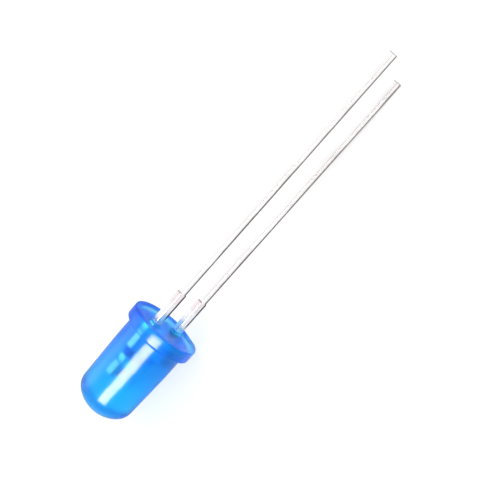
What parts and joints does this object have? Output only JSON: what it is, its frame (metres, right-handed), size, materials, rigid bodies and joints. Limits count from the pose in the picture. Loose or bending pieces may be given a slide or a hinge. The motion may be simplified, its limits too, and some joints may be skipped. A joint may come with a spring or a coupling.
{
  "type": "through hole led",
  "caption": "Round domed light emitting diode in tinted blue epoxy, with a flange, a cathode flat, and long and short square leads for through hole mounting.",
  "frame": {"origin": "centre of the flange's seat plane, on the optical axis", "axes": "+X out of the seat plane along the leads, the dome towards -X, +Z from the cathode to the anode, with the cathode flat facing -Z"},
  "size_m": [0.0353, 0.0058, 0.0057],
  "materials": {
    "tinted_epoxy": "moulded gloss, translucent blue",
    "tinned_steel": "tin plated, softly reflecting",
    "sapphire_chip": "sawn, pale blue grey",
    "die_adhesive": "cured, dull white",
    "gold_wire": "drawn gold"
  },
  "bodies": {
    "root": {"lens_body": "tinted_epoxy", "anode_frame": "tinned_steel", "cathode_frame": "tinned_steel", "led_chip": "sapphire_chip", "adhesive": "die_adhesive", "anode_bond_wire": "gold_wire", "cathode_bond_wire": "gold_wire"}
  },
  "joints": []
}
